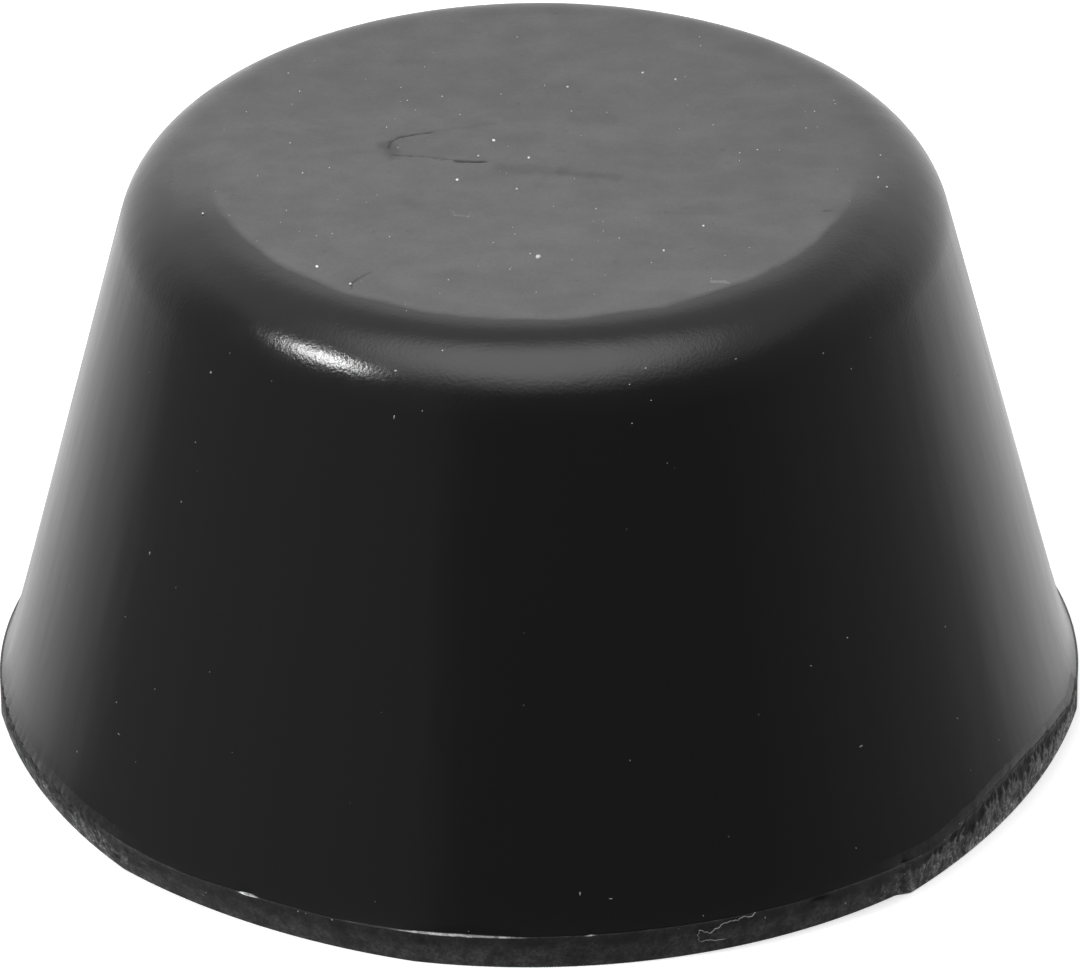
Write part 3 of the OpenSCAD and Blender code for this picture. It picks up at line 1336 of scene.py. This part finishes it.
def cut_rubber(finish):
    """The band that the knife left: matte, with paler torn flakes that catch the light, painted shade in its
    hollows, pits and along its top edge, and a painted glint on its lips.
    """
    material, graph = new_material("cut_rubber")
    at, axes, _ = object_axis(graph)
    torn, hollow_and_shade, cut = graph.mark("torn"), graph.mark("hollow_and_shade"), graph.mark("cut")
    grain, cloud = graph.noise(at, **CUT_GRAIN), graph.noise(at, **CUT_CLOUD)
    value = graph.product(
        graph.ramp(cloud, *CUT_CLOUDED),
        graph.ramp(grain, *CUT_LIGHT),
        graph.changed(torn, TORN_AND_GLINT_LIGHT),
        # Painted shade in the hollows, gaps and pits of the cut.
        graph.changed(hollow_and_shade, HOLLOW_SHADE),
        # Painted light, lighter towards the band's foot.
        graph.ramp_mm(axes[2], *PAINTED_FOOT_LIGHT),
    )
    flecks = graph.product(
        graph.clouds(at, **CUT_FLECKS),
        graph.ramp(torn, *FLECKS_TORN),
        graph.ramp(cloud, *FLECKS_CLOUD),
        graph.ramp_mm(axes[2], *FLECKS_LOW),
    )
    color = graph.mix(flecks, graph.tint(finish.cut_color, value), solid(finish.dust_color, FLECK_PALE))
    color = graph.mix(graph.math("MAXIMUM", cut, torn), solid(finish.skin_color), color)
    matte = graph.math("MULTIPLY_ADD", hollow_and_shade, CUT_DULL, graph.ramp(grain, *CUT_SHEEN))
    dulled = graph.math("MULTIPLY_ADD", hollow_and_shade, SKIN_DULL, finish.skin_roughness)
    rough = graph.add("ShaderNodeMapRange", {"Value": cut, "To Min": dulled, "To Max": matte}).outputs[0]
    graph.surface(color, rough, graph.bump(grain, cut, CUT_DEEP))
    return material


def dust_material(finish):
    """Pale, matte dust and lint, each speck a little different, with painted shade on the side and painted
    light on the top.
    """
    made = bpy.data.materials.get("dust")
    if made:
        return made
    material, graph = new_material("dust")
    at, axes, _ = object_axis(graph)
    # Painted shade low down and painted light at the top.
    shade = graph.product(graph.clouds(at, **DUST_CLOUD), graph.ramp_mm(axes[2], *PAINTED_DUST_LIGHT))
    graph.surface(graph.tint(finish.dust_color, shade), DUST_ROUGHNESS)
    return material


def underside_rubber(finish):
    """The plain matte underside."""
    material, graph = new_material("underside_rubber")
    at = object_axis(graph)[0]
    grain = graph.noise(at, **UNDER_GRAIN)
    value = graph.product(graph.clouds(at, **UNDER_CLOUD), graph.ramp(grain, *UNDER_LIGHT))
    relief = graph.bump(grain, UNDER_BUMP, UNDER_DEEP)
    graph.surface(graph.tint(finish.cut_color, value), graph.ramp(grain, *UNDER_SHEEN), relief)
    return material


# ---------------------------------------------------------------- studio

CAMERA_TARGET = Vector((0.165, 0.0, 13.80)) * MM
CAMERA_DISTANCE = 635.0 * MM
CAMERA_ELEVATION = math.radians(29.5248)
CAMERA_ROLL = math.radians(-0.571)
CAMERA_LENS = 362.46
CAMERA_SENSOR = 36
CAMERA_NEAR, CAMERA_FAR = 0.01, 50

# The floor lies a little low, so that the pad's underside shows from below.
FLOOR_SIZE = 8.0
FLOOR_DROP = 0.02 * MM

# The overhead softbox and the small umbrella lamp: where each hangs as seen
# from the pad, its distance, its width, how bright its middle is, and the
# share of its half width at which it starts to fade.
SOFTBOX = dict(
    towards=(-0.02, -0.21, 0.98),
    distance=0.7,
    width=1.15,
    depth=1.0,
    brightness=2.1,
    fade_from=0.28,
)
UMBRELLA = dict(
    towards=(-0.700, -0.290, 0.652),
    distance=0.7,
    width=0.33,
    depth=0.17,
    brightness=48.0,
    fade_from=0.05,
)

# How bright the room looks from the pad by azimuth from its front, -Y, with
# minus to the left: a white sweep stands behind, the room in front is dark.
ROOM_STOPS = [
    (-180, 0.88),
    (-165, 0.94),
    (-142, 0.88),
    (-125, 0.62),
    (-105, 0.2),
    (-26, 0.17),
    (-17, 0.05),
    (45, 0.09),
    (98, 0.28),
    (110, 0.38),
    (128, 0.8),
    (145, 0.9),
    (180, 0.86),
]

# The heights between which the sweep gives way to the ceiling and the room to
# the floor, and how bright those two look.
CEILING_START, CEILING_FULL = math.radians(40) - 0.12, math.radians(40) + 0.12
CEILING_GLOW = 0.55
FLOOR_START, FLOOR_FULL = math.radians(-22), math.radians(-50)
FLOOR_BOUNCE = 0.28
PAPER_WHITE = 0.9


def place_camera():
    """The camera, at the pad's front and about 30 degrees above the floor."""
    back = Vector((0, -math.cos(CAMERA_ELEVATION), math.sin(CAMERA_ELEVATION)))
    right = Vector((1, 0, 0))
    up = back.cross(right)
    c, s = math.cos(CAMERA_ROLL), math.sin(CAMERA_ROLL)
    turned = Matrix((right * c + up * s, up * c - right * s, back)).transposed()
    data = bpy.data.cameras.new("camera")
    data.sensor_width = CAMERA_SENSOR
    data.lens = CAMERA_LENS
    data.clip_start = CAMERA_NEAR
    data.clip_end = CAMERA_FAR
    camera = bpy.data.objects.new("camera", data)
    camera.matrix_world = Matrix.Translation(CAMERA_TARGET + back * CAMERA_DISTANCE) @ turned.to_4x4()
    bpy.context.scene.collection.objects.link(camera)
    bpy.context.scene.camera = camera


def soft_lamp(name, towards, distance, width, depth, brightness, fade_from):
    """An area lamp that looks at the pad, bright in its middle and faded at its rim."""
    data = bpy.data.lights.new(name, "AREA")
    data.shape = "RECTANGLE"
    data.size = width
    data.size_y = depth
    data.energy = brightness * math.pi * width * depth
    data.use_nodes = True
    graph = Graph(data.node_tree)
    spot = graph.add("ShaderNodeNewGeometry").outputs["Parametric"]
    offset = graph.vector("SUBTRACT", {0: spot, 1: (0.5, 0.5, 0)})
    reach = graph.vector("LENGTH", {0: graph.vector("MULTIPLY", {0: offset, 1: (2, 2, 0)})})
    fade = graph.ramp(reach, fade_from, 1.0, 1.0, 0.0)
    glow = graph.add("ShaderNodeEmission", {"Color": grey(1), "Strength": fade})
    graph.add("ShaderNodeOutputLight", {"Surface": glow.outputs[0]})
    lamp = bpy.data.objects.new(name, data)
    away = Vector(towards).normalized()
    lamp.location = away * distance + CAMERA_TARGET
    lamp.rotation_euler = away.to_track_quat("Z", "Y").to_euler()
    lamp.visible_camera = False
    bpy.context.scene.collection.objects.link(lamp)


def room_brightness(graph, direction):
    """How bright the room is in a direction: a dark front, a white sweep, a dim ceiling."""
    split = graph.add("ShaderNodeSeparateXYZ", {0: direction}).outputs
    turn = graph.math("ARCTAN2", split[0], graph.math("MULTIPLY", split[1], -1.0))
    share = graph.math("MULTIPLY_ADD", turn, 0.5 / math.pi, 0.5)
    ramp = graph.add("ShaderNodeValToRGB", {0: share})
    stops = ramp.color_ramp.elements
    for number, (azimuth, value) in enumerate(ROOM_STOPS):
        place = azimuth / 360 + 0.5
        stop = stops[number] if number < 2 else stops.new(place)
        stop.position = place
        stop.color = grey(value)
    height = graph.math("ARCSINE", split[2])
    ceiling = graph.ramp(height, CEILING_START, CEILING_FULL)
    room = graph.mix(ceiling, ramp.outputs[0], grey(CEILING_GLOW))
    ground = graph.ramp(height, FLOOR_FULL, FLOOR_START, 1.0, 0.0)
    return graph.mix(ground, room, grey(FLOOR_BOUNCE))


def shown_to_camera(graph, share, others, camera):
    """What the camera sees by a share, and what every other ray meets."""
    inputs = {0: share, 1: others.outputs[0], 2: camera.outputs[0]}
    return graph.add("ShaderNodeMixShader", inputs).outputs[0]


def lay_floor(look):
    """The white floor, which only the camera sees, and only from above."""
    bm = bmesh.new()
    bmesh.ops.create_grid(bm, x_segments=1, y_segments=1, size=FLOOR_SIZE / 2)
    mesh = bpy.data.meshes.new("floor")
    bm.to_mesh(mesh)
    bm.free()
    mesh.transform(Matrix.Translation((0, 0, -FLOOR_DROP)))
    floor = bpy.data.objects.new("floor", mesh)
    bpy.context.scene.collection.objects.link(floor)
    material, graph = new_material("studio_floor")
    ray = graph.add("ShaderNodeLightPath")
    paper = graph.add("ShaderNodeBsdfDiffuse", {"Color": grey(PAPER_WHITE)})
    glow = graph.add("ShaderNodeEmission", {"Color": grey(1), "Strength": look.floor_glow})
    seen = graph.add("ShaderNodeAddShader", {0: paper.outputs[0], 1: glow.outputs[0]})
    clear = graph.add("ShaderNodeBsdfTransparent")
    back = graph.add("ShaderNodeNewGeometry").outputs["Backfacing"]
    shown = graph.math("SUBTRACT", ray.outputs["Is Camera Ray"], back)
    shown = graph.math("MAXIMUM", shown, 0.0)
    graph.add("ShaderNodeOutputMaterial", {"Surface": shown_to_camera(graph, shown, clear, seen)})
    mesh.materials.append(material)


def light_room():
    """A white backdrop for the camera, the room that the rubber mirrors, and the lamps."""
    world = bpy.data.worlds.new("studio")
    world.use_nodes = True
    bpy.context.scene.world = world
    graph = Graph(world.node_tree)
    ray = graph.add("ShaderNodeLightPath")
    direction = graph.add("ShaderNodeTexCoord").outputs["Generated"]
    white = graph.add("ShaderNodeBackground", {"Color": grey(1), "Strength": 1.0})
    room = graph.add("ShaderNodeBackground", {"Color": room_brightness(graph, direction), "Strength": 1.0})
    both = shown_to_camera(graph, ray.outputs["Is Camera Ray"], room, white)
    graph.add("ShaderNodeOutputWorld", {"Surface": both})
    soft_lamp("softbox", **SOFTBOX)
    soft_lamp("umbrella", **UMBRELLA)
    bpy.context.scene.view_settings.view_transform = "Standard"


# ---------------------------------------------------------------- operators


class LIFTPAD_OT_rubber(bpy.types.Operator):
    """Mould the pad and trim its land"""

    bl_idname = "liftpad.make_rubber"
    bl_label = "Rubber Pad"

    def execute(self, context):
        scene = context.scene
        materials = [
            moulded_rubber("side_rubber", scene.liftpad_sizes, scene.liftpad_finish, False),
            cut_rubber(scene.liftpad_finish),
            underside_rubber(scene.liftpad_finish),
            moulded_rubber("top_rubber", scene.liftpad_sizes, scene.liftpad_finish, True),
        ]
        mould_pad(scene.liftpad_sizes, materials)
        return {"FINISHED"}


class LIFTPAD_OT_dust(bpy.types.Operator):
    """Scatter the dust on the pad"""

    bl_idname = "liftpad.make_dust"
    bl_label = "Dust"

    def execute(self, context):
        scene = context.scene
        scatter_dust(scene.liftpad_sizes, dust_material(scene.liftpad_finish))
        return {"FINISHED"}


class LIFTPAD_OT_fibre(bpy.types.Operator):
    """Lay the fibre of lint on the base"""

    bl_idname = "liftpad.make_fibre"
    bl_label = "Lint Fibre"

    def execute(self, context):
        scene = context.scene
        lay_fibre(scene.liftpad_sizes, dust_material(scene.liftpad_finish))
        return {"FINISHED"}


class LIFTPAD_OT_stage(bpy.types.Operator):
    """Set the floor, the lamps and the camera"""

    bl_idname = "liftpad.make_stage"
    bl_label = "Studio"

    def execute(self, context):
        place_camera()
        lay_floor(context.scene.liftpad_look)
        light_room()
        return {"FINISHED"}


class LIFTPAD_PT_panel(bpy.types.Panel):
    """The pad's pieces in the order in which they are made"""

    bl_idname = "LIFTPAD_PT_panel"
    bl_label = "Lift Pad"
    bl_space_type = "VIEW_3D"
    bl_region_type = "UI"
    bl_category = "Lift Pad"

    def draw(self, context):
        column = self.layout.column(align=True)
        for step in MAKING_ORDER:
            column.operator(step.bl_idname)
        for group in ("liftpad_sizes", "liftpad_finish", "liftpad_look"):
            values = getattr(context.scene, group)
            box = self.layout.box()
            for name in values.__annotations__:
                box.prop(values, name)


MAKING_ORDER = (LIFTPAD_OT_stage, LIFTPAD_OT_rubber, LIFTPAD_OT_dust, LIFTPAD_OT_fibre)
GROUPS = (PadSizes, PadFinish, StudioLook)


def register():
    """Registers the groups, the operators and the panel."""
    for kind in (*GROUPS, *MAKING_ORDER, LIFTPAD_PT_panel):
        bpy.utils.register_class(kind)
    bpy.types.Scene.liftpad_sizes = PointerProperty(type=PadSizes)
    bpy.types.Scene.liftpad_finish = PointerProperty(type=PadFinish)
    bpy.types.Scene.liftpad_look = PointerProperty(type=StudioLook)


def unregister():
    """Takes back what register() did."""
    del bpy.types.Scene.liftpad_look
    del bpy.types.Scene.liftpad_finish
    del bpy.types.Scene.liftpad_sizes
    for kind in (LIFTPAD_PT_panel, *reversed(MAKING_ORDER), *reversed(GROUPS)):
        bpy.utils.unregister_class(kind)


def main():
    """Makes the pieces in order."""
    register()
    bpy.ops.liftpad.make_stage()
    bpy.ops.liftpad.make_rubber()
    bpy.ops.liftpad.make_dust()
    bpy.ops.liftpad.make_fibre()


if __name__ == "__main__":
    main()
